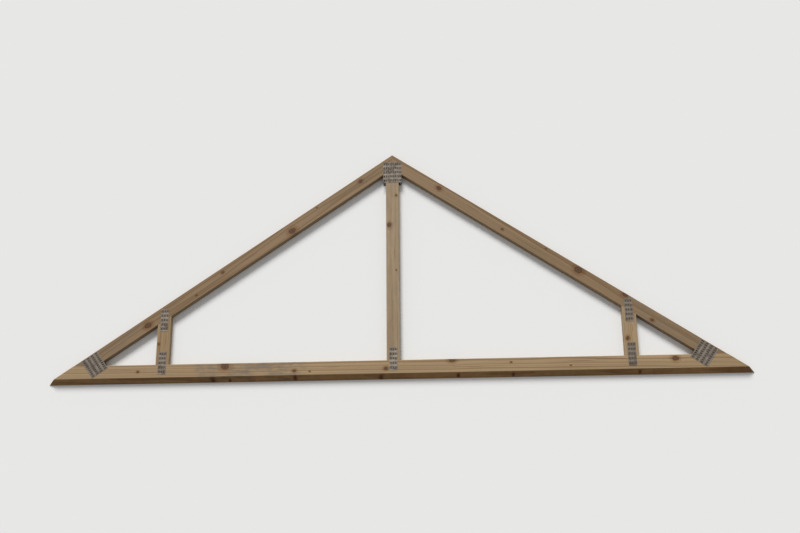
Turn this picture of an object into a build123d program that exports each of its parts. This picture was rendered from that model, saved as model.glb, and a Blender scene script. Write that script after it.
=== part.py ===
from build123d import *
from math import cos, floor, radians, sin, tan
import os

# A small duo-pitch valley truss of planed softwood, joined with punched steel nail plates.
# It lies on its back face: X runs along the bottom chord, Y from the chord to the ridge,
# Z through the thickness, with the front face up. Lengths are in millimetres.

# Overall shape, measured on the front face
span = 3680.0  # tip to tip along the lower front edge of the bottom chord
pitch = 35.0  # slope of the rafters, in degrees
seat_angle = 35.0  # slope of the roof that the bottom chord is bevelled to sit on
side_web_setback = 590.0  # from the heel's tip to the middle of each side web

# Timber sections
timber_thickness = 35.0
chord_depth = 97.0  # full depth, on the back face of the bevelled chord
rafter_depth = 72.0
king_post_depth = 72.0
side_web_depth = 72.0
arris = 2.0  # rounding of the planed long edges

# Nail plates, as (length along the slots, width across them)
plate_thickness = 1.0
heel_plate_size = (102.0, 114.0)
apex_plate_size = (127.0, 102.0)
king_foot_plate_size = (127.0, 43.0)
web_plate_size = (127.0, 43.0)
heel_plate_inset = 5.0  # bare rafter left above the heel plate
heel_plate_run = 224.0  # from the heel's tip up the slope to the middle of the plate
apex_plate_drop = 22.0  # from the peak of the king post down to the middle of the plate
foot_plate_lift = 8.0  # how far the middle of a foot plate is above its joint line

# Punched slots, each of which gives a pair of teeth
slot_length = 13.0
slot_width = 4.0
row_pitch = 25.4  # along the slots
column_pitch = 12.7  # across the slots
slot_margin = 4.0  # least steel left beside the outermost slots

# Sizes that follow from the ones above
slope = radians(pitch)
half_span = span / 2
rise = half_span * tan(slope)
bevel_drop = timber_thickness * tan(radians(seat_angle))
chord_front = chord_depth - bevel_drop
rafter_plumb = rafter_depth / cos(slope)
side_web_offset = half_span - side_web_setback

back_face = plate_thickness
middle_plane = back_face + timber_thickness / 2
front_face = back_face + timber_thickness
chord_foot = -(rise - bevel_drop) / 2  # lower front edge, with Y = 0 at mid-height overall
chord_top = chord_foot + chord_front
ridge = chord_foot + rise

# Planes that the timbers are cut to, each with its normal pointing out of the truss
left_roof = Plane((-half_span, chord_foot, 0), (cos(slope), sin(slope), 0), (-sin(slope), cos(slope), 0))
right_roof = Plane((half_span, chord_foot, 0), (cos(slope), -sin(slope), 0), (sin(slope), cos(slope), 0))
left_soffit = left_roof.offset(-rafter_depth)
right_soffit = right_roof.offset(-rafter_depth)
chord_seat = Plane((0, chord_top, middle_plane), (1, 0, 0), (0, 1, 0))
ridge_cut = Plane.YZ

os.makedirs("parts", exist_ok=True)


def finish(part, label):
    part.label = label
    export_step(part, f"parts/{label}.step")


# Bottom chord: its ends are cut along the rafters' slope, and its lower edge is sawn to
# the seat angle, so only the two upper arrises are still rounded.
chord_overrun = bevel_drop / tan(slope)

with BuildPart() as bottom_chord:
    with BuildSketch(Plane.YZ.offset(-half_span - chord_overrun)) as chord_section:
        with BuildLine():
            Polyline(
                (chord_foot - bevel_drop, back_face),
                (chord_foot, front_face),
                (chord_top, front_face),
                (chord_top, back_face),
                close=True,
            )
        make_face()
        fillet(chord_section.vertices().group_by(Axis.X)[-1], arris)
    extrude(amount=span + 2 * chord_overrun)
    split(bisect_by=left_roof, keep=Keep.BOTTOM)
    split(bisect_by=right_roof, keep=Keep.BOTTOM)
finish(bottom_chord.part, "bottom_chord")

# Rafters: cut level where they stand on the chord, and plumb where they meet at the ridge.
rafter_section_plane = Plane(
    (-half_span, chord_foot, middle_plane),
    (-sin(slope), cos(slope), 0),
    (cos(slope), sin(slope), 0),
)

with BuildPart() as left_rafter:
    with BuildSketch(rafter_section_plane):
        with Locations((-rafter_depth / 2, 0)):
            RectangleRounded(rafter_depth, timber_thickness, arris)
    extrude(amount=half_span / cos(slope) + rafter_plumb)
    split(bisect_by=chord_seat, keep=Keep.TOP)
    split(bisect_by=ridge_cut, keep=Keep.BOTTOM)
finish(left_rafter.part, "left_rafter")

with BuildPart() as right_rafter:
    mirror(left_rafter.part, about=ridge_cut)
finish(right_rafter.part, "right_rafter")

# King post: square foot on the chord, and a pointed head under both rafters.
with BuildPart() as king_post:
    with BuildSketch(chord_seat):
        RectangleRounded(king_post_depth, timber_thickness, arris)
    extrude(amount=rise)
    split(bisect_by=left_soffit, keep=Keep.BOTTOM)
    split(bisect_by=right_soffit, keep=Keep.BOTTOM)
finish(king_post.part, "king_post")

# Side webs: square foot, head cut to the pitch.
with BuildPart() as left_web:
    with BuildSketch(chord_seat):
        with Locations((-side_web_offset, 0)):
            RectangleRounded(side_web_depth, timber_thickness, arris)
    extrude(amount=rise)
    split(bisect_by=left_soffit, keep=Keep.BOTTOM)
finish(left_web.part, "left_web")

with BuildPart() as right_web:
    mirror(left_web.part, about=ridge_cut)
finish(right_web.part, "right_web")


def slot_count(size, slot, gap):
    """How many slots fit across a plate at this spacing, inside its margins."""
    return floor((size - 2 * slot_margin - slot) / gap) + 1


def nail_plate(label, size, middle, angle=0.0):
    """A pair of like plates pressed on opposite faces, slots running at the given angle."""
    along, across = size
    direction = (cos(radians(angle)), sin(radians(angle)), 0)
    for side, height in (("front", front_face), ("back", back_face - plate_thickness)):
        with BuildPart() as plate:
            with BuildSketch(Plane((*middle, height), direction, (0, 0, 1))):
                Rectangle(along, across)
                with GridLocations(
                    row_pitch,
                    column_pitch,
                    slot_count(along, slot_length, row_pitch),
                    slot_count(across, slot_width, column_pitch),
                ):
                    Rectangle(slot_length, slot_width, mode=Mode.SUBTRACT)
            extrude(amount=plate_thickness)
        finish(plate.part, f"{label}_{side}")


# Heel plates lie along the slope, over the rafter's level cut and the chord's end.
heel_depth = heel_plate_inset + heel_plate_size[1] / 2
heel_x = half_span - heel_plate_run * cos(slope) - heel_depth * sin(slope)
heel_y = chord_foot + heel_plate_run * sin(slope) - heel_depth * cos(slope)
nail_plate("left_heel_plate", heel_plate_size, (-heel_x, heel_y), pitch)
nail_plate("right_heel_plate", heel_plate_size, (heel_x, heel_y), -pitch)

# The apex plate ties the two rafters and the head of the king post.
nail_plate("apex_plate", apex_plate_size, (0, ridge - rafter_plumb - apex_plate_drop), 90)

# Upright plates at the feet and heads of the webs.
foot_y = chord_top + foot_plate_lift
nail_plate("king_foot_plate", king_foot_plate_size, (0, foot_y), 90)
web_head = ridge - rafter_plumb - side_web_offset * tan(slope)
for side, web_x in (("left", -side_web_offset), ("right", side_web_offset)):
    nail_plate(f"{side}_web_foot_plate", web_plate_size, (web_x, foot_y), 90)
    nail_plate(f"{side}_web_head_plate", web_plate_size, (web_x, web_head), 90)
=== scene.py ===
import bpy
import math
from mathutils import Matrix, Vector
from mathutils.noise import noise as noiseAt


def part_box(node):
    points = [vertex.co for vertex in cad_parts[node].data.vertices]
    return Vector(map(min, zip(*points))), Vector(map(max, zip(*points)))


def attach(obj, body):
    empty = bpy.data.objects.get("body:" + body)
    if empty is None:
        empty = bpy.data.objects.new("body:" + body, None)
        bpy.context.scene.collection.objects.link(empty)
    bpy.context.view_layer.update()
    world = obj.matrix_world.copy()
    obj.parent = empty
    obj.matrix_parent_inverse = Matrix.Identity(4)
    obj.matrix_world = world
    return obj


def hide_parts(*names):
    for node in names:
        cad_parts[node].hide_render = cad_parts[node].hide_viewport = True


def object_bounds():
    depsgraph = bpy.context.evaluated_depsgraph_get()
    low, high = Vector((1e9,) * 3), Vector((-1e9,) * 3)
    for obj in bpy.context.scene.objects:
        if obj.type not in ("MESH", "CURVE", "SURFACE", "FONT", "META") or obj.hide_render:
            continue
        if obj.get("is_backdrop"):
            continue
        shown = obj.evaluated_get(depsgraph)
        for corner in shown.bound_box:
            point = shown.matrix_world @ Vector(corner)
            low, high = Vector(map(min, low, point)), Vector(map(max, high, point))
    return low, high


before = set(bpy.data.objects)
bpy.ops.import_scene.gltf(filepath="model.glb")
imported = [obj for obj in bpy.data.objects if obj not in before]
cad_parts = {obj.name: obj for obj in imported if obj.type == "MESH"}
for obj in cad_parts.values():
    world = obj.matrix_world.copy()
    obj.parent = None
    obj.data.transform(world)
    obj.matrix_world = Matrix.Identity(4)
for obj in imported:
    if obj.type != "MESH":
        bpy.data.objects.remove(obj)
cadLow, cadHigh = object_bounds()
print("truss loaded:", len(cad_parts), "pieces")

# heights through the truss and the lines that it is cut to, in metres, from the frame
backSheet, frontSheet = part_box("apex_plate_back"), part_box("apex_plate_front")
sheet = frontSheet[1][2] - frontSheet[0][2]  # thickness of a nail plate
backFace, frontFace = backSheet[1][2], frontSheet[0][2]
thickness, middlePlane = frontFace - backFace, (backFace + frontFace) / 2
slope = math.radians(35)  # of the rafters, and of the chord's bevel and ends
bevelDrop = thickness * math.tan(slope)
chordLow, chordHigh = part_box("bottom_chord")
chordFoot, chordTop = chordLow[1] + bevelDrop, chordHigh[1]
heel = chordHigh[0] - bevelDrop / math.tan(slope)
ridge, soffitPeak = cadHigh[1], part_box("king_post")[1][1]

nodeGrid = {"across": 190, "down": 240, "inRow": 12}  # how new nodes are laid out in the editor


def isSocket(value):
    return isinstance(value, bpy.types.NodeSocket)


# the node tree that the first socket among these values is in
def treeOf(*values):
    return next(value for value in values if isSocket(value)).id_data


def join(value, socket):
    if isSocket(value):
        socket.id_data.links.new(value, socket)
    else:
        socket.default_value = value


def addNode(tree, kind, inputs=None, **settings):
    made = tree.nodes.new(kind)
    row, column = divmod(len(tree.nodes), nodeGrid["inRow"])
    made.location = (nodeGrid["across"] * column, -nodeGrid["down"] * row)
    for key, value in settings.items():
        setattr(made, key, value)
    for key, value in (inputs or {}).items():
        join(value, made.inputs[key])
    return made


def maths(operation, a, b=None, c=None, clamp=False):
    made = addNode(treeOf(a, b, c), "ShaderNodeMath", operation=operation, use_clamp=clamp)
    for index, value in enumerate((a, b, c)):
        if value is not None:
            join(value, made.inputs[index])
    return made.outputs[0]


def plus(a, b):
    return maths("ADD", a, b)


def minus(a, b):
    return maths("SUBTRACT", a, b)


def times(a, b, clamp=False):
    return maths("MULTIPLY", a, b, clamp=clamp)


def over(a, b):
    return maths("DIVIDE", a, b)


# a times b, plus c
def timesPlus(a, b, c, clamp=False):
    return maths("MULTIPLY_ADD", a, b, c, clamp)


def flip(value):
    return minus(1.0, value)


def vectorMaths(operation, a, b, out=0):
    made = addNode(treeOf(a, b), "ShaderNodeVectorMath", operation=operation)
    join(a, made.inputs[0])
    join(b, made.inputs[1])
    return made.outputs[out]


# 0 below low, 1 above high
def rampUp(value, low, high):
    made = addNode(treeOf(value), "ShaderNodeMapRange", {"Value": value, "From Min": low, "From Max": high},
                   interpolation_type="SMOOTHSTEP")
    return made.outputs["Result"]


def rampDown(value, low, high):
    return flip(rampUp(value, low, high))


def mixColour(factor, a, b, blend="MIX"):
    made = addNode(treeOf(factor, a, b), "ShaderNodeMix", data_type="RGBA", blend_type=blend)
    for index, value in ((0, factor), (6, a), (7, b)):  # a mix node's sockets for colours
        join(value, made.inputs[index])
    return made.outputs[2]


def tinted(colour, tint):
    return mixColour(1.0, colour, tint, "MULTIPLY")


def split(vector):
    return addNode(treeOf(vector), "ShaderNodeSeparateXYZ", {"Vector": vector}).outputs[:3]


def combine(x, y, z):
    return addNode(treeOf(x, y, z), "ShaderNodeCombineXYZ", {"X": x, "Y": y, "Z": z}).outputs[0]


# the offset keeps two noises on one piece from being alike
def noise(vector, stretch, detail=2.0, roughness=0.5, offset=(0, 0, 0)):
    moved = vectorMaths("ADD", vector, offset) if any(offset) else vector
    scaled = vectorMaths("MULTIPLY", moved, stretch)
    inputs = {"Vector": scaled, "Scale": 1.0, "Detail": detail, "Roughness": roughness}
    return addNode(treeOf(vector), "ShaderNodeTexNoise", inputs).outputs[0]


# a 0 to 1 value as -amount/2 to amount/2
def centred(value, amount):
    return times(minus(value, 0.5), amount)


# inputs have their usual values, or None for a vector; outputs are numbers but for Vector and Color
def newGroup(name, inputs, outputs):
    tree = bpy.data.node_groups.new(name, "ShaderNodeTree")
    for label, usual in inputs.items():
        kind = "Vector" if usual is None else "Color" if isinstance(usual, tuple) else "Float"
        made = tree.interface.new_socket(name=label, in_out="INPUT", socket_type="NodeSocket" + kind)
        if usual is not None:
            made.default_value = usual
    for label in outputs:
        kind = label if label in ("Vector", "Color") else "Float"
        tree.interface.new_socket(name=label, in_out="OUTPUT", socket_type="NodeSocket" + kind)
    entry = addNode(tree, "NodeGroupInput")
    leave = addNode(tree, "NodeGroupOutput")
    return tree, entry.outputs, leave.inputs


def place(tree, group, **inputs):
    made = addNode(tree, "ShaderNodeGroup", node_tree=group)
    for key, value in inputs.items():
        join(value, made.inputs[key.replace("_", " ")])
    return made.outputs


def newMaterial(name):
    made = bpy.data.materials.new(name)
    made.use_nodes = True
    tree = made.node_tree
    tree.nodes.clear()
    shader = addNode(tree, "ShaderNodeBsdfPrincipled")
    addNode(tree, "ShaderNodeOutputMaterial", {"Surface": shader.outputs[0]})
    return made, tree, shader


def newObject(name, data):
    made = bpy.data.objects.new(name, data)
    bpy.context.scene.collection.objects.link(made)
    return made


# where a point is from a piece's middle, along and across the piece
def fromMiddle(where, middle, turn):
    back = -(Matrix.Rotation(-turn, 3, "Z") @ Vector(middle))
    inputs = {"Vector": where, "Location": back, "Rotation": (0, 0, -turn)}
    return addNode(treeOf(where), "ShaderNodeMapping", inputs).outputs[0]


def finishShader(shader, colour, rough, height, look):
    join(colour, shader.inputs["Base Color"])
    join(rough, shader.inputs["Roughness"])
    bump = addNode(shader.id_data, "ShaderNodeBump",
                   {"Height": height, "Strength": look["bump"], "Distance": look["relief"]})
    join(bump.outputs[0], shader.inputs["Normal"])


farAway = 10.0  # nearness where there is no knot, in radii of a knot
# a knot's outline, how much it parts the grain, and the drying cracks that some knots have in them
knotLook = {"length": 1.3, "wobble": 0.5, "wobbleScale": (55, 55, 55), "parting": 0.45,
            "chanceAlong": 7.3, "chanceAcross": 310.0, "cracked": (0.30, 0.50),
            "fewestArms": 1.1, "moreArms": 2.2, "armWaver": 0.8, "armTurn": 17.0,
            "armWidth": (0.004, 0.022), "armEnd": (0.5, 0.95), "breaks": (130, 130, 60),
            "broken": (0.40, 0.52)}


# the grain parts round a knot, which runs through the timber with a slight lean
def grainRoundKnot():
    look = knotLook
    tree, given, out = newGroup(
        "grain round a knot",
        {"Vector": None, "Nearness": farAway, "Along": 0.0, "Across": 0.0, "Radius": 0.012, "Lean": 0.2,
         "Cracks": 0.0},
        ["Vector", "Nearness", "Cracks"])
    vector, along, across, radius = given["Vector"], given["Along"], given["Across"], given["Radius"]
    x, y, z = split(vector)
    wobble = centred(noise(vector, look["wobbleScale"], 2), look["wobble"])
    alongKnot = over(minus(x, along), look["length"])
    axis = timesPlus(z, given["Lean"], across)
    acrossKnot = minus(y, axis)
    apart = plus(times(alongKnot, alongKnot), times(acrossKnot, acrossKnot))
    area = times(radius, radius)
    push = over(area, timesPlus(area, look["parting"], apart))
    bent = minus(y, times(acrossKnot, push))
    near = over(maths("SQRT", apart), radius)
    near = times(near, plus(1.0, wobble))

    chance = maths("FRACT", timesPlus(along, look["chanceAlong"], times(across, look["chanceAcross"])))
    arms = timesPlus(chance, look["moreArms"], look["fewestArms"])
    turned = over(maths("ARCTAN2", acrossKnot, alongKnot), math.tau)
    spokes = times(turned, arms)
    spokes = plus(spokes, timesPlus(wobble, look["armWaver"], times(along, look["armTurn"])))
    gap = times(maths("PINGPONG", spokes, 0.5), near)
    crack = times(rampDown(gap, *look["armWidth"]), rampDown(near, *look["armEnd"]))
    broken = rampUp(noise(vector, look["breaks"], 1, offset=(1, 8, 2)), *look["broken"])
    crack = times(times(crack, broken), rampUp(chance, *look["cracked"]))
    join(combine(x, bent, z), out["Vector"])
    join(maths("MINIMUM", near, given["Nearness"]), out["Nearness"])
    join(maths("MAXIMUM", crack, given["Cracks"]), out["Cracks"])
    return tree


# noises are stretched as (along, across, through) the timber
woodLook = {
    # growth rings: how they wander, how their spacing changes, and the dark late part of each
    "sway": (1.5, 8, 8), "dip": (1.1, 7, 7), "wanderDetail": 1.5, "spacingStep": 0.45, "spacingChange": 1.6,
    "lateStart": (0.45, 0.90), "lateEnd": (0.94, 1.0), "faintestRing": 0.4, "strongerRing": 0.6,
    # fibres, streaks, broad drift and resin canals, and how much each changes the colour
    "fibre": (9, 480, 480), "fibreTone": 0.24, "streak": (1.6, 85, 85), "streakTone": 0.34,
    "drift": (1.6, 9, 9), "driftTone": 0.40, "canal": (85, 1500, 1500), "canalEdge": (0.72, 0.80),
    "canalTone": 0.32,
    # knots, with edges in radii of the knot
    "halo": (0.9, 2.9), "haloTint": (0.74, 0.58, 0.42, 1), "knotEdge": (0.88, 1.05), "heart": (0.0, 0.45),
    "mottle": (90, 240, 240), "fineRings": 5.0, "paler": 0.62, "palest": 0.26,
    "crackShadeTint": (0.012, 0.007, 0.004, 1), "rimEdge": (0.03, 0.16), "rimTone": 0.8,
    "rimTint": (0.022, 0.010, 0.004, 1),
    "roughness": 0.60, "fibreRoughness": 0.22, "knotRoughness": 0.08,
    "lateHeight": 0.45, "fibreHeight": 0.5, "canalDepth": 0.5, "knotHeight": 0.5, "crackDepth": 1.5}


# growth rings round a pith beside the timber, fibres along it, and knots
def softwood():
    look = woodLook
    tree, given, out = newGroup(
        "softwood",
        {"Vector": None, "Nearness": farAway, "Cracks": 0.0, "Seed": 0.0, "Ring Width": 0.006,
         "Pith Across": 0.05, "Pith Deep": -0.05, "Pith Drift": 0.01, "Figure": 0.014, "Contrast": 0.7,
         "Early Wood": (0.36, 0.24, 0.13, 1), "Late Wood": (0.22, 0.13, 0.06, 1),
         "Knot Wood": (0.078, 0.034, 0.013, 1)},
        ["Color", "Roughness", "Height"])
    seed, near, cracks, figure = given["Seed"], given["Nearness"], given["Cracks"], given["Figure"]
    earlyWood, knotWood = given["Early Wood"], given["Knot Wood"]
    x, y, z = split(given["Vector"])
    own = vectorMaths("ADD", given["Vector"], combine(seed, times(seed, 0.7), times(seed, 1.3)))

    # rings
    sway = centred(noise(own, look["sway"], look["wanderDetail"]), figure)
    dip = centred(noise(own, look["dip"], look["wanderDetail"], offset=(5, 3, 8)), figure)
    across = plus(timesPlus(x, given["Pith Drift"], y), minus(sway, given["Pith Across"]))
    deep = plus(z, minus(dip, given["Pith Deep"]))
    radius = maths("SQRT", plus(times(across, across), times(deep, deep)))
    count = over(radius, given["Ring Width"])
    uneven = addNode(tree, "ShaderNodeTexNoise",
                     {"W": timesPlus(count, look["spacingStep"], seed), "Scale": 1.0, "Detail": 1.0},
                     noise_dimensions="1D").outputs[0]
    count = plus(count, centred(uneven, look["spacingChange"]))
    phase = maths("FRACT", count)
    ring = maths("FLOOR", count)
    strength = addNode(tree, "ShaderNodeTexWhiteNoise", {"W": plus(ring, seed)},
                       noise_dimensions="1D").outputs[0]
    late = times(rampUp(phase, *look["lateStart"]), rampDown(phase, *look["lateEnd"]))
    late = times(late, timesPlus(strength, look["strongerRing"], look["faintestRing"]))

    # fibres, streaks, resin canals and broad colour drift
    fibre = noise(own, look["fibre"], 3, 0.6)
    streak = noise(own, look["streak"], 2.5, 0.55, offset=(2, 7, 1))
    drift = noise(own, look["drift"], 2, offset=(9, 1, 4))
    canal = rampUp(noise(own, look["canal"], 0, offset=(1, 2, 3)), *look["canalEdge"])
    tone = plus(plus(1.0, centred(fibre, look["fibreTone"])),
                plus(centred(streak, look["streakTone"]), centred(drift, look["driftTone"])))
    colour = mixColour(times(late, given["Contrast"]), earlyWood, given["Late Wood"])
    colour = tinted(colour, tone)
    colour = mixColour(times(canal, look["canalTone"]), colour, knotWood)

    # knots: a warm halo, a dark rim and fine rings of their own
    halo = rampDown(near, *look["halo"])
    warm = tinted(colour, look["haloTint"])
    colour = mixColour(halo, colour, warm)
    inside = rampDown(near, *look["knotEdge"])
    mottle = noise(own, look["mottle"], 3, 0.6, offset=(6, 6, 6))
    fineRings = maths("PINGPONG", timesPlus(near, look["fineRings"], mottle), 0.5)
    paler = times(plus(fineRings, mottle), rampUp(near, *look["heart"]))
    knot = mixColour(times(paler, look["paler"], clamp=True), knotWood,
                     mixColour(look["palest"], knotWood, earlyWood))
    # painted shade: the cracks in a knot are darkened
    knot = mixColour(cracks, knot, look["crackShadeTint"])
    colour = mixColour(inside, colour, knot)
    rim = rampDown(maths("ABSOLUTE", minus(near, 1.0)), *look["rimEdge"])
    colour = mixColour(times(rim, look["rimTone"]), colour, look["rimTint"])

    rough = plus(look["roughness"], centred(fibre, look["fibreRoughness"]))
    rough = plus(rough, times(inside, look["knotRoughness"]))
    height = timesPlus(late, look["lateHeight"], times(fibre, look["fibreHeight"]))
    height = minus(height, times(canal, look["canalDepth"]))
    height = plus(height, times(minus(inside, rim), look["knotHeight"]))
    height = minus(height, times(cracks, look["crackDepth"]))
    join(colour, out["Color"])
    join(rough, out["Roughness"])
    join(height, out["Height"])
    return tree


pitchLook = {"waver": (22, 22, 0), "waverBy": 0.006, "core": 0.4, "edge": 0.0002}


# a pitch streak that follows the grain and tapers to nothing, on the front only
def grainLine():
    look = pitchLook
    tree, given, out = newGroup(
        "line along the grain",
        {"Vector": None, "Mask": 0.0, "Along": 0.0, "Across": 0.0, "Half Length": 0.08, "Width": 0.002},
        ["Mask"])
    x, y, z = split(given["Vector"])
    run = over(minus(x, given["Along"]), given["Half Length"])
    taper = maths("MAXIMUM", flip(times(run, run)), 0.0)
    waver = centred(noise(given["Vector"], look["waver"], 3, 0.6), look["waverBy"])
    away = maths("ABSOLUTE", minus(plus(y, waver), given["Across"]))
    half = times(times(given["Width"], 0.5), taper)
    line = rampDown(away, times(half, look["core"]), plus(half, look["edge"]))
    line = times(line, maths("GREATER_THAN", taper, 0.0))
    line = times(line, maths("GREATER_THAN", z, 0.0))
    join(maths("MAXIMUM", line, given["Mask"]), out["Mask"])
    return tree


# how far the surface faces a direction, or either that one or its opposite
def facing():
    tree, given, out = newGroup("facing", {"Direction": None, "From": 0.35, "To": 0.6}, ["Mask", "Both Ways"])
    normal = addNode(tree, "ShaderNodeTexCoord").outputs["Normal"]
    turned = vectorMaths("DOT_PRODUCT", normal, given["Direction"], out="Value")
    join(rampUp(turned, given["From"], given["To"]), out["Mask"])
    join(rampUp(maths("ABSOLUTE", turned), given["From"], given["To"]), out["Both Ways"])
    return tree


sawLook = {"spacing": 0.0035, "bow": 5.0, "shake": (9, 9, 9), "shakeBy": 3.0, "patches": (30, 30, 30),
           "patchEdge": (0.3, 0.7)}


# shallow curved ridges that a circular saw leaves
def sawMarks():
    look = sawLook
    tree, given, out = newGroup("saw marks", {"Vector": None, "Spacing": look["spacing"]}, ["Height"])
    x, y, z = split(given["Vector"])
    bow = times(plus(times(y, y), times(z, z)), look["bow"])
    steps = over(plus(x, bow), given["Spacing"])
    steps = plus(steps, centred(noise(given["Vector"], look["shake"], 2), look["shakeBy"]))
    ridges = maths("PINGPONG", steps, 0.5)
    patchy = rampUp(noise(given["Vector"], look["patches"], 2, offset=(3, 3, 3)), *look["patchEdge"])
    join(times(ridges, patchy), out["Height"])
    return tree


stainLook = {"softness": 0.08, "ragged": (7, 22, 22), "raggedBy": 0.22, "mottle": (16, 46, 46),
             "mottleEdge": (0.36, 0.66)}


# grey mottling over one length of a timber
def weatherStain():
    look = stainLook
    tree, given, out = newGroup(
        "weather stain", {"Vector": None, "Start": -1.0, "End": -0.5, "Softness": look["softness"]}, ["Mask"])
    start, end, softness = given["Start"], given["End"], given["Softness"]
    x = split(given["Vector"])[0]
    ragged = plus(x, centred(noise(given["Vector"], look["ragged"], 3), look["raggedBy"]))
    inward = rampUp(ragged, minus(start, softness), start)
    outward = rampDown(ragged, end, plus(end, softness))
    mottle = rampUp(noise(given["Vector"], look["mottle"], 4, 0.62, offset=(4, 4, 4)), *look["mottleEdge"])
    join(times(times(inward, outward), mottle), out["Mask"])
    return tree


# the wood under a plate that shows in its slots, darkened: painted shade, with crushed wood
def underPlate():
    tree, given, out = newGroup(
        "under a plate", {"Mask": 0.0, "Middle": None, "Half Along": 0.06, "Half Across": 0.02, "Turn": 0.0},
        ["Mask"])
    where = addNode(tree, "ShaderNodeTexCoord").outputs["Object"]
    away = vectorMaths("SUBTRACT", where, given["Middle"])
    turned = addNode(tree, "ShaderNodeVectorRotate", {"Vector": away, "Angle": times(given["Turn"], -1.0)},
                     rotation_type="Z_AXIS").outputs[0]
    x, y = split(turned)[:2]
    inLength = maths("LESS_THAN", maths("ABSOLUTE", x), given["Half Along"])
    inWidth = maths("LESS_THAN", maths("ABSOLUTE", y), given["Half Across"])
    join(maths("MAXIMUM", given["Mask"], times(inLength, inWidth)), out["Mask"])
    return tree


arrisLook = {"uneven": (30, 200, 200), "unevenBy": 0.002, "edge": (-0.004, -0.001)}


# the planed corners, a little paler than the faces
def wornArris():
    look = arrisLook
    tree, given, out = newGroup(
        "worn arris", {"Vector": None, "Half Across": 0.036, "Half Deep": thickness / 2}, ["Mask"])
    y, z = split(given["Vector"])[1:]
    sideways = minus(maths("ABSOLUTE", y), given["Half Across"])
    upward = minus(maths("ABSOLUTE", z), given["Half Deep"])
    reach = plus(maths("MINIMUM", sideways, upward),
                 centred(noise(given["Vector"], look["uneven"], 2), look["unevenBy"]))
    join(rampUp(reach, *look["edge"]), out["Mask"])
    return tree


knotGroup, woodGroup, lineGroup, facingGroup = grainRoundKnot(), softwood(), grainLine(), facing()
sawGroup, stainGroup, shadeGroup, arrisGroup = sawMarks(), weatherStain(), underPlate(), wornArris()
print("wood's shader groups ready")

slots = {"Slot Length": 0.013, "Row Pitch": 0.0254, "Column Pitch": 0.0127}
slotWidth = 0.004
heelPlate = {"size": (0.102, 0.114), "slots": (4, 9)}
uprightPlate = {"turn": 90, "size": (0.127, 0.043), "slots": (5, 3)}
plates = {  # turn of the slots, size along and across them, slots each way, and a lightness for its zinc, partly its own and partly painted light and shade
    # each plate's tone scales its zinc to how light it looks: partly the zinc's own tone, partly painted
    # light and shade
    "left_heel_plate": {**heelPlate, "turn": 35, "tone": 0.96},
    "right_heel_plate": {**heelPlate, "turn": -35, "tone": 1.10},
    "apex_plate": {"turn": 90, "size": (0.127, 0.102), "slots": (5, 8), "tone": 0.95},
    "king_foot_plate": {**uprightPlate, "tone": 1.28},
    "left_web_foot_plate": {**uprightPlate, "tone": 1.0},
    "right_web_foot_plate": {**uprightPlate, "tone": 0.93},
    "left_web_head_plate": {**uprightPlate, "tone": 1.05},
    "right_web_head_plate": {**uprightPlate, "tone": 0.98},
}
for plate, sizes in plates.items():
    low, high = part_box(plate + "_front")
    sizes["middle"] = ((low[0] + high[0]) / 2, (low[1] + high[1]) / 2)

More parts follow.
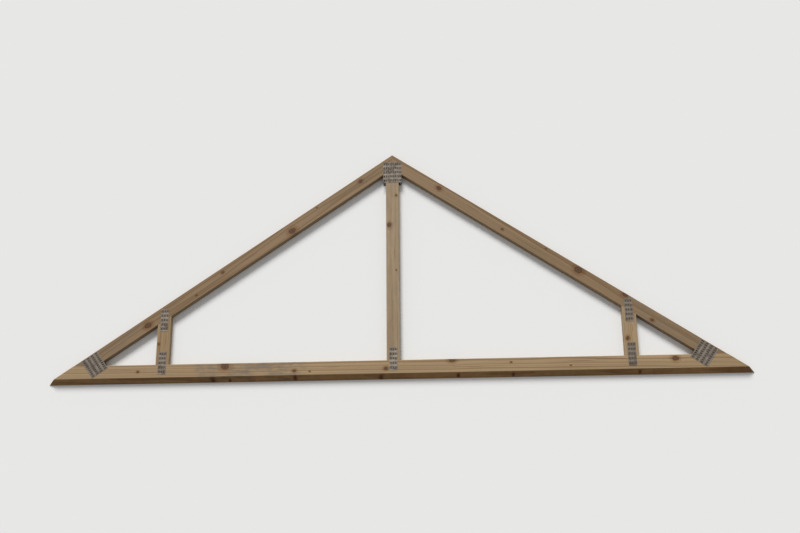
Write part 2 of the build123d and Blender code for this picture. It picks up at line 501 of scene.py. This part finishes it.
# knots are (along, across, radius, lean), pitch and drying checks (along, across, half length, width),
# stain (start, end, strength), and the pith is beside the timber's axis and below it
timbers = {
    "bottom_chord": {
        "ends": (["left roof"], ["right roof"]), "turn": 0, "seed": 1.7, "ringWidth": 0.0068,
        "pith": (0.046, -0.052), "drift": 0.008, "contrast": 0.85,
        "early": (0.328, 0.227, 0.125, 1), "late": (0.190, 0.114, 0.048, 1),
        "knots": [(-0.905, 0.013, 0.016, 0.3), (-0.53, -0.010, 0.007, -0.2), (-0.447, -0.020, 0.0035, 0.1),
                  (-0.04, -0.013, 0.008, 0.2), (1.47, 0.010, 0.011, 0.3), (0.62, 0.018, 0.004, -0.4),
                  (-1.38, -0.004, 0.005, 0.1), (0.93, -0.014, 0.003, 0.1), (0.31, 0.024, 0.012, 0.5),
                  # these come out on the bevel
                  (-0.971, -0.050, 0.008, 0.2), (-0.88, -0.048, 0.004, 0.2), (-0.526, -0.046, 0.006, 0.3),
                  (-0.067, -0.049, 0.006, 0.2), (0.342, -0.048, 0.005, 0.1), (0.63, -0.048, 0.004, 0.2),
                  (1.287, -0.049, 0.004, 0.2)],
        "pitch": [(-0.33, 0.004, 0.05, 0.003), (0.98, 0.012, 0.07, 0.0025)],
        "checks": [(-1.49, 0.006, 0.10, 0.0009), (0.45, -0.008, 0.14, 0.0008), (1.15, 0.020, 0.09, 0.0007)],
        "stain": (-1.02, -0.53, 0.66),
        "plates": ["left_heel", "right_heel", "king_foot", "left_web_foot", "right_web_foot"]},
    # the rafters' wood is set darker than the chord's, as they look: partly their own colour, partly painted
    # shade
    "left_rafter": {
        "ends": (["chord top"], ["ridge"]), "turn": 35, "seed": 4.1, "ringWidth": 0.0078,
        "pith": (-0.012, -0.040), "drift": -0.012, "contrast": 0.95,
        "early": (0.226, 0.147, 0.077, 1), "late": (0.124, 0.068, 0.027, 1),
        "knots": [(-0.62, -0.010, 0.013, 0.2), (-0.12, 0.016, 0.006, -0.3), (0.33, -0.018, 0.014, 0.3),
                  (0.81, 0.006, 0.008, 0.2), (0.52, 0.020, 0.003, 0.1), (-0.31, -0.020, 0.004, 0.2)],
        "pitch": [(0.05, -0.002, 0.06, 0.004)],
        "checks": [(0.62, -0.007, 0.12, 0.0008), (-0.45, 0.010, 0.08, 0.0007)],
        "stain": (-1.0, -0.7, 0.30), "plates": ["left_heel", "apex", "left_web_head"]},
    "right_rafter": {
        "ends": (["ridge"], ["chord top"]), "turn": -35, "seed": 8.3, "ringWidth": 0.0060,
        "pith": (0.035, -0.060), "drift": 0.012, "contrast": 0.85,
        "early": (0.230, 0.151, 0.080, 1), "late": (0.138, 0.080, 0.033, 1),
        "knots": [(-0.71, 0.012, 0.010, -0.2), (-0.28, -0.015, 0.005, 0.3), (0.19, 0.008, 0.015, 0.2),
                  (0.66, -0.012, 0.007, -0.3), (0.47, 0.022, 0.011, 0.4), (-0.02, 0.021, 0.003, 0.1)],
        "pitch": [(-0.48, 0.006, 0.05, 0.003)],
        "checks": [(-0.10, -0.010, 0.11, 0.0008), (0.84, 0.012, 0.09, 0.0007)],
        "stain": (0.55, 0.85, 0.35), "plates": ["right_heel", "apex", "right_web_head"]},
    "king_post": {
        "ends": (["chord top"], ["left soffit", "right soffit"]), "turn": 90, "seed": 12.9,
        "ringWidth": 0.0056, "pith": (0.012, -0.070), "drift": -0.014, "contrast": 0.70,
        "early": (0.312, 0.224, 0.132, 1), "late": (0.198, 0.128, 0.062, 1),
        "knots": [(0.22, 0.014, 0.010, 0.3), (0.40, -0.018, 0.005, -0.2), (-0.05, -0.022, 0.003, 0.2)],
        "pitch": [(0.05, -0.008, 0.05, 0.003)],
        "checks": [(-0.28, 0.006, 0.13, 0.0009)],
        "stain": (-0.6, 0.6, 0.22), "plates": ["apex", "king_foot"]},
    "left_web": {
        "ends": (["chord top"], ["left soffit"]), "turn": 90, "seed": 16.2, "ringWidth": 0.0050,
        "pith": (0.030, -0.044), "drift": 0.02, "contrast": 0.85,
        "early": (0.285, 0.192, 0.100, 1), "late": (0.165, 0.095, 0.040, 1),
        "knots": [(-0.01, 0.022, 0.005, 0.2)], "pitch": [], "checks": [(0.01, -0.012, 0.04, 0.0008)],
        "stain": None, "plates": ["left_web_foot", "left_web_head"]},
    "right_web": {
        "ends": (["chord top"], ["right soffit"]), "turn": 90, "seed": 21.6, "ringWidth": 0.0063,
        "pith": (-0.028, -0.050), "drift": -0.02, "contrast": 0.85,
        "early": (0.315, 0.222, 0.124, 1), "late": (0.195, 0.121, 0.055, 1),
        "knots": [(-0.032, 0.020, 0.008, -0.2)], "pitch": [(0.03, -0.010, 0.03, 0.003)], "checks": [],
        "stain": None, "plates": ["right_web_foot", "right_web_head"]},
}

# the planes that the timbers are cut to, each as a point on it and its normal
cuts = {"chord top": (Vector((0, chordTop)), Vector((0, 1))), "ridge": (Vector((0, 0)), Vector((1, 0)))}
for side, hand in (("left", -1), ("right", 1)):
    outward = Vector((hand * math.sin(slope), math.cos(slope)))
    cuts[side + " roof"] = (Vector((hand * heel, chordFoot)), outward)
    cuts[side + " soffit"] = (Vector((0, soffitPeak)), outward)


# where a line along the grain starts and ends at those planes, from the timber's middle
def endsOfLine(sizes, across):
    turn = math.radians(sizes["turn"])
    along = Vector((math.cos(turn), math.sin(turn)))
    beside = sizes["middle"] + Vector((-math.sin(turn), math.cos(turn))) * across
    met = []
    for planes in sizes["ends"]:
        met.append([(cuts[cut][0] - beside).dot(cuts[cut][1]) / along.dot(cuts[cut][1]) for cut in planes])
    return max(met[0]), min(met[1])


# each timber's half depth, its middle, and how much deeper its back is than its front
for name, sizes in timbers.items():
    low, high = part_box(name)
    sizes["middle"] = Vector(((low[0] + high[0]) / 2, (low[1] + high[1]) / 2))
    sizes["half"], sizes["bevel"] = (high[0] - low[0]) / 2, 0.0
    if name == "bottom_chord":
        sizes["middle"].y = (chordFoot + chordTop) / 2
        sizes["half"], sizes["bevel"] = (chordTop - chordFoot) / 2, bevelDrop
    elif name.endswith("rafter"):
        sizes["middle"] = Vector((0, (ridge + soffitPeak) / 2))
        sizes["half"] = (ridge - soffitPeak) * math.cos(slope) / 2
    start, end = endsOfLine(sizes, 0)
    sizes["middle"] += Matrix.Rotation(math.radians(sizes["turn"]), 2) @ Vector(((start + end) / 2, 0))

# what lies over the bare wood: a tint, how strong it is, and what else it changes
timberFinish = {
    "pitch": (0.085, 0.040, 0.014, 1), "pitchStrength": 0.75,
    # check: painted shade deep in the drying checks
    "check": (0.030, 0.018, 0.009, 1), "checkShadeStrength": 0.9,
    "stain": (0.150, 0.128, 0.105, 1), "stainRoughness": 0.15, "besideKnots": (0.8, 1.3),
    "arris": (0.50, 0.40, 0.28, 1), "arrisStrength": 0.22,
    # bevel: painted shade on the bevel, which faces away from the light, with the darker tone of sawn wood
    "endGrain": (0.80, 0.72, 0.62, 1), "bevel": (0.70, 0.56, 0.40, 1), "bevelFacing": (0.9, 0.97),
    # markStrength: darker stripes with the saw marks, partly the sawn wood's own streaks, partly painted
    # shade of the ridges
    "sawn": (0.60, 0.52, 0.44, 1), "sawnRoughness": 0.2, "markHeight": 4.0, "markStrength": 0.9,
    # pressed: painted shade in a plate's slots, with crushed wood
    "pressed": (0.030, 0.020, 0.012, 1), "pressedAndShadedStrength": 0.8, "plateMargin": 0.001,
    "gloss": 0.22, "bump": 1.0, "relief": 0.0004}


def timberMaterial(name, sizes):
    made, tree, shader = newMaterial(name + "_wood")
    look, turn = timberFinish, math.radians(sizes["turn"])
    where = addNode(tree, "ShaderNodeTexCoord").outputs["Object"]
    straight = fromMiddle(where, (*sizes["middle"], middlePlane), turn)
    bent, near, cracks = straight, farAway, 0.0
    for along, across, radius, lean in sizes["knots"]:
        passed = place(tree, knotGroup, Vector=bent, Nearness=near, Along=along, Across=across, Radius=radius,
                       Lean=lean, Cracks=cracks)
        bent, near, cracks = passed["Vector"], passed["Nearness"], passed["Cracks"]
    wood = place(tree, woodGroup, Vector=bent, Nearness=near, Cracks=cracks, Seed=sizes["seed"],
                 Ring_Width=sizes["ringWidth"], Pith_Across=sizes["pith"][0], Pith_Deep=sizes["pith"][1],
                 Pith_Drift=sizes["drift"], Contrast=sizes["contrast"], Early_Wood=sizes["early"],
                 Late_Wood=sizes["late"])
    colour, rough, height = wood["Color"], wood["Roughness"], wood["Height"]

    streaks = 0.0
    for along, across, halfLength, width in sizes["pitch"]:
        streaks = place(tree, lineGroup, Vector=bent, Mask=streaks, Along=along, Across=across,
                        Half_Length=halfLength, Width=width)["Mask"]
    opened = addNode(tree, "ShaderNodeAttribute", attribute_name="opened").outputs["Fac"]
    if sizes["pitch"]:
        colour = mixColour(times(streaks, look["pitchStrength"]), colour, look["pitch"])
    # painted shade: the drying checks darken with how deep a point lies in them
    colour = mixColour(times(opened, look["checkShadeStrength"], clamp=True), colour, look["check"])

    if sizes["stain"]:
        start, end, amount = sizes["stain"]
        stain = place(tree, stainGroup, Vector=straight, Start=start, End=end)["Mask"]
        stain = times(times(stain, amount), rampUp(near, *look["besideKnots"]))
        colour = mixColour(stain, colour, look["stain"])
        rough = timesPlus(stain, look["stainRoughness"], rough)

    edge = place(tree, arrisGroup, Vector=straight, Half_Across=sizes["half"])["Mask"]
    colour = mixColour(times(edge, look["arrisStrength"]), colour, look["arris"])

    ends = place(tree, facingGroup, Direction=(math.cos(turn), math.sin(turn), 0))["Both Ways"]
    colour = mixColour(ends, colour, tinted(colour, look["endGrain"]))
    sawn = ends
    if sizes["bevel"]:  # the long bevel is left as it was sawn
        least, full = look["bevelFacing"]
        bevel = place(tree, facingGroup, Direction=(0, -math.cos(slope), math.sin(slope)), From=least,
                      To=full)["Mask"]
        # painted shade: the bevel, which faces away from the light, is darkened, over the darker tone of its
        # sawn wood
        colour = mixColour(bevel, colour, tinted(colour, look["bevel"]))
        sawn = maths("MAXIMUM", ends, bevel)
    rough = timesPlus(sawn, look["sawnRoughness"], rough, clamp=True)
    marks = times(place(tree, sawGroup, Vector=straight)["Height"], sawn)
    # the saw marks are darkened in colour: partly the sawn wood's own streaks, partly painted shade of the
    # ridges that the bump alone hardly shows
    sawnShade = tinted(colour, look["sawn"])
    height = plus(height, times(marks, look["markHeight"]))
    colour = mixColour(times(marks, look["markStrength"]), colour, sawnShade)

    # painted shade, with crushed wood: the wood under each plate is darkened where it shows in the slots
    covered = 0.0
    for plate in sizes["plates"]:
        pressed = plates[plate + "_plate"]
        halfAlong, halfAcross = (side / 2 - look["plateMargin"] for side in pressed["size"])
        covered = place(tree, shadeGroup, Mask=covered, Middle=(*pressed["middle"], 0), Half_Along=halfAlong,
                        Half_Across=halfAcross, Turn=math.radians(pressed["turn"]))["Mask"]
    colour = mixColour(times(covered, look["pressedAndShadedStrength"]), colour, look["pressed"])

    shader.inputs["Specular IOR Level"].default_value = look["gloss"]
    finishShader(shader, colour, rough, height, look)
    return made


# a planed timber with uneven arrises and faces and its drying checks open, as a plain mesh
sawing = {
    "station": 0.006, "column": 0.006, "steps": 4,  # steps round a corner and up a narrow side
    "arris": 0.0023, "sawnArris": 0.0006,
    "clear": 0.0046, "fullest": 0.9,  # what a face leaves for an arris, and how much of it one fills
    "wear": 1.1, "wearVaries": 0.35, "wearScale": 5, "dents": 2.2, "dentsFrom": 0.25, "dentScale": 23,
    "unevenness": 0.00025, "unevenAlong": 4, "unevenAcross": 40,
    "checkDepth": 0.0026, "checkLip": 0.0001, "checkClear": 0.005, "checkWaver": 0.0016, "waverScale": 12,
    "checkWidth": 0.75, "widthVaries": 0.5, "widthScale": 90, "checksApart": 300,
    "sharp": 36}  # angle past which an edge isn't smoothed, in degrees
cornerSeeds = (7, 9)  # keep the dents and the wear of the four arrises apart


# points across a face from one corner's rounding to the next, with none near a check but the middle
def columns(low, high, checks=()):
    count = max(1, round((high - low) / sawing["column"]))
    even = [low + (high - low) * step / count for step in range(count + 1)]
    free = [v for v in even if abs(v) > sawing["column"] / 2
            and all(abs(v - check[1]) > sawing["checkClear"] for check in checks)]
    return sorted(free + [0.0])


# the corners of a timber's section, as (across, height) from its axis
def sectionCorners(sizes):
    low, high, up = -sizes["half"], sizes["half"], thickness / 2
    return [(low - sizes["bevel"], -up), (high, -up), (high, up), (low, up)]


# the points round the section: a corner's, then those of the face after it
def sectionOutline(sizes):
    corners, checks = sectionCorners(sizes), sizes["checks"]
    clear, steps = sawing["clear"], sawing["steps"]
    lowBehind, high, low = corners[0][0], corners[2][0], corners[3][0]
    side = [clear / thickness + (1 - 2 * clear / thickness) * step / steps for step in range(steps + 1)]
    outline = []
    for index, (across, height) in enumerate(corners):
        outline += [("corner", index, step / steps, None) for step in range(steps + 1)]
        toAcross, toHeight = corners[(index + 1) % 4]
        if index == 0:
            outline += [("face", v, height, None) for v in columns(lowBehind + clear, high - clear)]
        elif index == 2:
            front = [("face", v, height, 0) for v in columns(low + clear, high - clear, checks)]
            front += [("check", check[1], check, lip) for check in checks for lip in (-1, 0, 1)]
            outline += sorted(front, key=lambda point: (point[1], point[3]), reverse=True)
        else:
            outline += [("face", across + (toAcross - across) * share, height + (toHeight - height) * share,
                         None) for share in side]
    return outline


# the rounding of one corner, where this much of the way round it and so far along it
def roundedCorner(sizes, index, share, along):
    corners, seed = sectionCorners(sizes), sizes["seed"]
    spot = Vector(corners[index])
    sawn = sizes["bevel"] and index in (0, 3)
    dented = noiseAt((along * sawing["dentScale"], index * cornerSeeds[0], seed)) - sawing["dentsFrom"]
    worn = noiseAt((along * sawing["wearScale"], index * cornerSeeds[1], seed)) * sawing["wearVaries"]
    worn = sawing["wear"] + worn + max(0, dented) * sawing["dents"]
    size = min(sawing["sawnArris" if sawn else "arris"] * worn, sawing["clear"] * sawing["fullest"])
    before = (Vector(corners[index - 1]) - spot).normalized() * size
    after = (Vector(corners[(index + 1) % 4]) - spot).normalized() * size
    return spot + before * (1 - share) ** 2 + after * share ** 2


# how far a face lies inside its true plane
def hollow(sizes, along, across, height):
    apart = sawing["unevenAcross"]
    rise = noiseAt((along * sawing["unevenAlong"], across * apart, height * apart + sizes["seed"]))
    return sawing["unevenness"] * (0.5 + 0.5 * rise)


# a point of the section at this distance along the timber, and how deep in a check it is
def sectionPoint(sizes, point, along):
    kind, first, second, third = point
    if kind == "corner":
        return (*roundedCorner(sizes, first, second, along), 0.0)
    top, seed = thickness / 2, sizes["seed"]
    if kind == "face":
        sink = hollow(sizes, along, first, second)
        if abs(second) == top:
            return first, second - math.copysign(sink, second), 0.0
        return first - math.copysign(sink, first), second, 0.0
    middle, across, halfLength, width = second
    run, apart = (along - middle) / halfLength, across * sawing["checksApart"]
    taper = math.sqrt(max(0.0, 1 - run * run))
    jagged = noiseAt((along * sawing["widthScale"], apart, third)) * sawing["widthVaries"]
    jagged += sawing["checkWidth"]
    waver = noiseAt((along * sawing["waverScale"], apart, seed)) * sawing["checkWaver"]
    depth = 0.0 if third else taper * sawing["checkDepth"]
    lip = third * (sawing["checkLip"] + width / 2 * taper * jagged)
    return across + waver + lip, top - hollow(sizes, along, across, top) - depth, depth


def sawnTimber(name, sizes):
    outline = sectionOutline(sizes)
    reach = [endsOfLine(sizes, corner[0]) for corner in sectionCorners(sizes)] + [endsOfLine(sizes, 0)]
    longest = max(end for start, end in reach) - min(start for start, end in reach)
    stations = round(longest / sawing["station"])
    turn = Matrix.Rotation(math.radians(sizes["turn"]), 3, "Z")
    middle = Vector((*sizes["middle"], middlePlane))
    points, opened = [], []
    for station in range(stations + 1):
        share = station / stations
        for point in outline:
            start, end = endsOfLine(sizes, 0 if point[0] == "corner" else point[1])
            across, height, depth = sectionPoint(sizes, point, start + (end - start) * share)
            start, end = endsOfLine(sizes, across)
            points.append(turn @ Vector((start + (end - start) * share, across, height)) + middle)
            opened.append(min(1.0, 2 * depth / sawing["checkDepth"]))

    size = len(outline)
    faces = [(row + left, row + (left + 1) % size, row + size + (left + 1) % size, row + size + left)
             for row in range(0, stations * size, size) for left in range(size)]
    # each end is closed in two halves, because the king post's head has a peak
    first, second = [index for index, point in enumerate(outline) if point[:2] == ("face", 0.0)]
    for half in (list(range(first, second + 1)), list(range(second, size)) + list(range(first + 1))):
        faces.append(half[::-1])
        faces.append([stations * size + index for index in half])
    mesh = bpy.data.meshes.new(name + "_timber")
    mesh.from_pydata(points, [], faces)
    mesh.attributes.new("opened", "FLOAT", "POINT").data.foreach_set("value", opened)
    mesh.shade_smooth()
    mesh.set_sharp_from_angle(angle=math.radians(sawing["sharp"]))
    return newObject(name + "_timber", mesh)


for name, sizes in timbers.items():
    piece = sawnTimber(name, sizes)
    piece.data.materials.append(timberMaterial(name, sizes))
    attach(piece, "root")
    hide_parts(name)
print("timbers finished:", len(timbers))

# the sheet's crystals, dull patches and rolling scratches, and how they change its colour and surface
coatLook = {"flatten": (1, 1, 0.2), "bend": (60, 60, 60), "bendBy": (0.006, 0.006, 0), "crystal": 110.0,
            "border": (0.35, 0.75), "dull": (22, 22, 22), "dullEdge": (0.45, 0.7), "scratch": (25, 600, 600),
            "crystalTone": 0.45, "dullTone": 0.5, "borderTone": 0.12,
            "roughness": 0.56, "crystalRoughness": 0.12, "dullRoughness": 0.16, "scratchRoughness": 0.1,
            "crystalHeight": 0.4, "scratchHeight": 0.4}


# spangle, dull patches and faint rolling streaks of a hot-dipped sheet
def zincCoat():
    look = coatLook
    tree, given, out = newGroup(
        "zinc coat",
        {"Vector": None, "Crystal": look["crystal"], "Bright": (0.50, 0.47, 0.43, 1),
         "Dull": (0.33, 0.31, 0.28, 1)},
        ["Color", "Roughness", "Height"])
    flat = vectorMaths("MULTIPLY", given["Vector"], look["flatten"])
    shift = combine(noise(flat, look["bend"], 1), noise(flat, look["bend"], 1, offset=(3, 1, 2)), 0.0)
    bent = vectorMaths("ADD", flat, vectorMaths("MULTIPLY", shift, look["bendBy"]))
    cell = addNode(tree, "ShaderNodeTexVoronoi", {"Vector": bent, "Scale": given["Crystal"]})
    shade = split(cell.outputs["Color"])[0]
    border = rampUp(cell.outputs["Distance"], *look["border"])
    dull = rampUp(noise(flat, look["dull"], 3, 0.6), *look["dullEdge"])
    scratch = noise(flat, look["scratch"], 2)
    factor = plus(times(shade, look["crystalTone"]), times(dull, look["dullTone"]))
    colour = mixColour(factor, given["Bright"], given["Dull"])
    colour = mixColour(times(border, look["borderTone"]), colour, given["Bright"])
    rough = plus(timesPlus(shade, look["crystalRoughness"], look["roughness"]),
                 times(dull, look["dullRoughness"]))
    rough = plus(rough, centred(scratch, look["scratchRoughness"]))
    join(colour, out["Color"])
    join(rough, out["Roughness"])
    join(plus(times(shade, look["crystalHeight"]), times(scratch, look["scratchHeight"])), out["Height"])
    return tree


# how far from a slot the sheet is pulled down, and what that does to the zinc: a dip in its surface, and
# painted shade and dirt that darken it
punchLook = {"rowEdge": (-0.002, 0.003), "rimEdge": (0.0, 0.0022), "rowShadeAndDirtTint": (0.092, 0.076, 0.061, 1),
             "rowShadeAndDirtStrength": 0.55, "rimTint": (0.046, 0.038, 0.030, 1), "rimShadeStrength": 0.5,
             "rowDepth": 1.2, "rimDepth": 2.5}


# where the press pulled the sheet down: along each row of slots, and most at a slot's rim
def punchedRows():
    look = punchLook
    tree, given, out = newGroup(
        "punched rows", {"Vector": None, "Row Shift": 0.0, "Column Shift": 0.0}, ["Row", "Rim"])
    x, y = split(given["Vector"])[:2]
    away = []
    for line, way in ((x, "Row"), (y, "Column")):
        steps = plus(over(line, slots[way + " Pitch"]), given[way + " Shift"])
        off = maths("ABSOLUTE", minus(steps, maths("ROUND", steps)))
        away.append(times(off, slots[way + " Pitch"]))
    alongEdge = minus(away[0], slots["Slot Length"] / 2)
    acrossEdge = minus(away[1], slotWidth / 2)
    join(rampDown(alongEdge, *look["rowEdge"]), out["Row"])
    join(rampDown(maths("MAXIMUM", alongEdge, acrossEdge), *look["rimEdge"]), out["Rim"])
    return tree


zincGroup, rowsGroup = zincCoat(), punchedRows()

zinc = {"bright": (0.184, 0.155, 0.128), "dull": (0.115, 0.097, 0.080), "toothShadedBright": (0.140, 0.119, 0.100),
        "toothShadedDull": (0.084, 0.072, 0.061), "metallic": 0.85, "bump": 0.7, "relief": 0.0002}


def zincMaterial(name, bright, dull, sizes=None):
    look = punchLook
    made, tree, shader = newMaterial(name)
    where = addNode(tree, "ShaderNodeTexCoord").outputs["Object"]
    coat = place(tree, zincGroup, Vector=where, Bright=(*bright, 1), Dull=(*dull, 1))
    colour, height = coat["Color"], coat["Height"]
    if sizes:
        own = fromMiddle(where, (*sizes["middle"], 0), math.radians(sizes["turn"]))
        # an even number of rows or columns has none through the middle
        rowShift, columnShift = (0.5 * (1 - count % 2) for count in sizes["slots"])
        rows = place(tree, rowsGroup, Vector=own, Row_Shift=rowShift, Column_Shift=columnShift)
        # painted shade and dirt along each row of slots, and painted shade at each slot's rim
        colour = mixColour(times(rows["Row"], look["rowShadeAndDirtStrength"]), colour, look["rowShadeAndDirtTint"])
        colour = mixColour(times(rows["Rim"], look["rimShadeStrength"]), colour, look["rimTint"])
        height = minus(height, timesPlus(rows["Row"], look["rowDepth"], times(rows["Rim"], look["rimDepth"])))
    shader.inputs["Metallic"].default_value = zinc["metallic"]
    finishShader(shader, colour, coat["Roughness"], height, zinc)
    return made


# gives a part of the frame its material and leaves its mesh alone
def dress(node, material):
    for held in node.material_slots:
        held.link = "OBJECT"
        held.material = material


for plate, sizes in plates.items():
    bright, dull = ([part * sizes["tone"] for part in zinc[tint]] for tint in ("bright", "dull"))
    finish = zincMaterial(plate + "_zinc", bright, dull, sizes)
    for side in ("front", "back"):
        dress(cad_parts[f"{plate}_{side}"], finish)
print("plates galvanised:", 2 * len(plates))

tooth = {"Tooth Length": 0.0062, "Tooth Width": 0.0034, "Thickness": 0.0009, "Bend": 0.0008, "Taper": 0.35,
         "Twist": math.radians(1.5)}
toothSeed = 7
toothPoints = (9, 3, 2)  # along, across and through a tooth
# the teeth get a darker copy of the plates' zinc: painted shade, as they sit down in the slots
toothZinc = zincMaterial("tooth_zinc", zinc["toothShadedBright"], zinc["toothShadedDull"])


def shifted(geometry, shift, turn=(0, 0, 0)):
    inputs = {"Geometry": geometry, "Translation": shift, "Rotation": turn}
    return addNode(treeOf(geometry), "GeometryNodeTransform", inputs).outputs[0]


# a pair of teeth bent down from the two ends of every slot
def toothTree():
    tree = bpy.data.node_groups.new("punched teeth", "GeometryNodeTree")
    tree.interface.new_socket(name="Geometry", in_out="OUTPUT", socket_type="NodeSocketGeometry")
    kinds = {"Rows": "Int", "Columns": "Int", "Middle": "Vector", "Turn": "Vector", "Metal": "Material"}
    for label in (*kinds, *slots, *tooth):
        kind = kinds.get(label, "Float")
        tree.interface.new_socket(name=label, in_out="INPUT", socket_type="NodeSocket" + kind)
    given = addNode(tree, "NodeGroupInput").outputs
    leave = addNode(tree, "NodeGroupOutput").inputs

    # a flat blank, bent a quarter turn round the slot's end and then straight down
    blank = addNode(tree, "GeometryNodeMeshCube", {
        "Size": combine(given["Tooth Length"], given["Tooth Width"], given["Thickness"]),
        "Vertices X": toothPoints[0], "Vertices Y": toothPoints[1], "Vertices Z": toothPoints[2]}).outputs[0]
    x, y, z = split(addNode(tree, "GeometryNodeInputPosition").outputs[0])
    quarter = math.pi / 2
    run = timesPlus(given["Tooth Length"], 0.5, x)
    radius = timesPlus(given["Thickness"], 0.5, given["Bend"])
    angle = maths("MINIMUM", over(run, radius), quarter)
    straight = maths("MAXIMUM", minus(run, times(radius, quarter)), 0.0)
    reach = plus(radius, z)
    narrow = flip(times(given["Taper"], over(run, given["Tooth Length"])))
    bentX = times(reach, maths("SINE", angle))
    bentZ = minus(times(reach, maths("COSINE", angle)), plus(radius, straight))
    bent = addNode(tree, "GeometryNodeSetPosition", {
        "Geometry": blank, "Position": combine(bentX, times(y, narrow), bentZ)}).outputs[0]

    halfSlot = times(given["Slot Length"], 0.5)
    near = shifted(bent, combine(times(halfSlot, -1.0), 0.0, 0.0))
    far = shifted(bent, combine(halfSlot, 0.0, 0.0), (0, 0, math.pi))
    pair = addNode(tree, "GeometryNodeJoinGeometry")
    join(near, pair.inputs[0])
    join(far, pair.inputs[0])

    # a pair in every slot, each turned a little by chance
    gaps = [times(minus(given[count], 1.0), given[pitch])
            for count, pitch in (("Rows", "Row Pitch"), ("Columns", "Column Pitch"))]
    grid = addNode(tree, "GeometryNodeMeshGrid", {
        "Size X": gaps[0], "Size Y": gaps[1], "Vertices X": given["Rows"],
        "Vertices Y": given["Columns"]}).outputs["Mesh"]
    turned = addNode(tree, "FunctionNodeRandomValue", {"Seed": toothSeed}, data_type="FLOAT_VECTOR")
    join(combine(0.0, 0.0, times(given["Twist"], -1.0)), turned.inputs[0])
    join(combine(0.0, 0.0, given["Twist"]), turned.inputs[1])
    spread = addNode(tree, "GeometryNodeInstanceOnPoints", {
        "Points": grid, "Instance": pair.outputs[0], "Rotation": turned.outputs[0]}).outputs[0]
    whole = shifted(spread, given["Middle"], given["Turn"])
    solid = addNode(tree, "GeometryNodeRealizeInstances", {"Geometry": whole}).outputs[0]
    shaded = addNode(tree, "GeometryNodeSetMaterial", {"Geometry": solid, "Material": given["Metal"]})
    join(shaded.outputs[0], leave["Geometry"])
    return tree


# runs a geometry node tree with these values and keeps the result as a plain mesh
def madeByNodes(name, tree, values):
    carrier = newObject(name, bpy.data.meshes.new(name + "_start"))
    modifier = carrier.modifiers.new("made", "NODES")
    modifier.node_group = tree
    for item in tree.interface.items_tree:
        if item.in_out == "INPUT" and item.name in values:
            modifier[item.identifier] = values[item.name]
    bpy.context.view_layer.update()
    seen = bpy.context.evaluated_depsgraph_get()
    mesh = bpy.data.meshes.new_from_object(carrier.evaluated_get(seen), depsgraph=seen)
    carrier.modifiers.remove(modifier)
    carrier.data = mesh
    mesh.name = name
    return carrier


teeth, punched = toothTree(), 0
for plate, sizes in plates.items():
    rows, lines = sizes["slots"]
    for side, roll, height in (("front", 0, frontFace + sheet / 2), ("back", math.pi, backFace - sheet / 2)):
        piece = madeByNodes(f"{plate.replace('plate', 'teeth')}_{side}", teeth, {
            **slots, **tooth, "Rows": rows, "Columns": lines, "Middle": (*sizes["middle"], height),
            "Turn": (roll, 0, math.radians(sizes["turn"])), "Metal": toothZinc})
        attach(piece, "root")
        punched += rows * lines
print("teeth bent down from", punched, "slots")

studio = {"pale": (0.80, 0.80, 0.79, 1), "floorReach": 60.0, "floorBelow": 0.0003, "floorRoughness": 0.9,
          "fill": 0.38, "key": 3.22, "keyFrom": (-0.25, 1.25, 0.97), "keyAway": 4, "keySoftness": 24}

floorMesh = bpy.data.meshes.new("floor")
reach, level = studio["floorReach"], -studio["floorBelow"]
floorMesh.from_pydata([(x * reach, y * reach, level) for x, y in ((-1, -1), (1, -1), (1, 1), (-1, 1))], [],
                      [(0, 1, 2, 3)])
floor = newObject("floor", floorMesh)
paleFloor, tree, shader = newMaterial("pale_floor")
shader.inputs["Base Color"].default_value = studio["pale"]
shader.inputs["Roughness"].default_value = studio["floorRoughness"]
shader.inputs["Specular IOR Level"].default_value = 0.0
floorMesh.materials.append(paleFloor)
floor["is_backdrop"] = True

world = bpy.data.worlds.new("studio")
world.use_nodes = True
bpy.context.scene.world = world
tree = world.node_tree
tree.nodes.clear()
rays = addNode(tree, "ShaderNodeLightPath").outputs
seenDirectly = maths("MAXIMUM", rays["Is Camera Ray"],
                     maths("MAXIMUM", rays["Is Glossy Ray"], rays["Is Transmission Ray"]))
fill = addNode(tree, "ShaderNodeBackground", {"Color": (1, 1, 1, 1), "Strength": studio["fill"]})
backdrop = addNode(tree, "ShaderNodeBackground", {"Color": studio["pale"], "Strength": 1.0})
mixed = addNode(tree, "ShaderNodeMixShader", {0: seenDirectly, 1: fill.outputs[0], 2: backdrop.outputs[0]})
addNode(tree, "ShaderNodeOutputWorld", {"Surface": mixed.outputs[0]})

keyLight = bpy.data.lights.new("key", "SUN")
keyLight.energy = studio["key"]
keyLight.angle = math.radians(studio["keySoftness"])
key = newObject("key", keyLight)
key.location = Vector(studio["keyFrom"]) * studio["keyAway"]
key.rotation_euler = (-Vector(studio["keyFrom"])).to_track_quat("-Z", "Y").to_euler()

view = {"place": (0.211, -2.095, 4.933), "yaw": 3.8, "tilt": 16.3, "lens": 43.5, "film": 36,
        "shift": (0.035, 0.14), "farthest": 200}
cameraData = bpy.data.cameras.new("camera")
cameraData.sensor_width = view["film"]
cameraData.lens = view["lens"]
cameraData.shift_x, cameraData.shift_y = view["shift"]
cameraData.clip_end = view["farthest"]
camera = newObject("camera", cameraData)
camera.matrix_world = (Matrix.Translation(view["place"]) @ Matrix.Rotation(math.radians(view["yaw"]), 4, "Y")
                       @ Matrix.Rotation(math.radians(view["tilt"]), 4, "X"))
bpy.context.scene.camera = camera
bpy.context.scene.view_settings.view_transform = "Standard"
print("studio ready")

low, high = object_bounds()
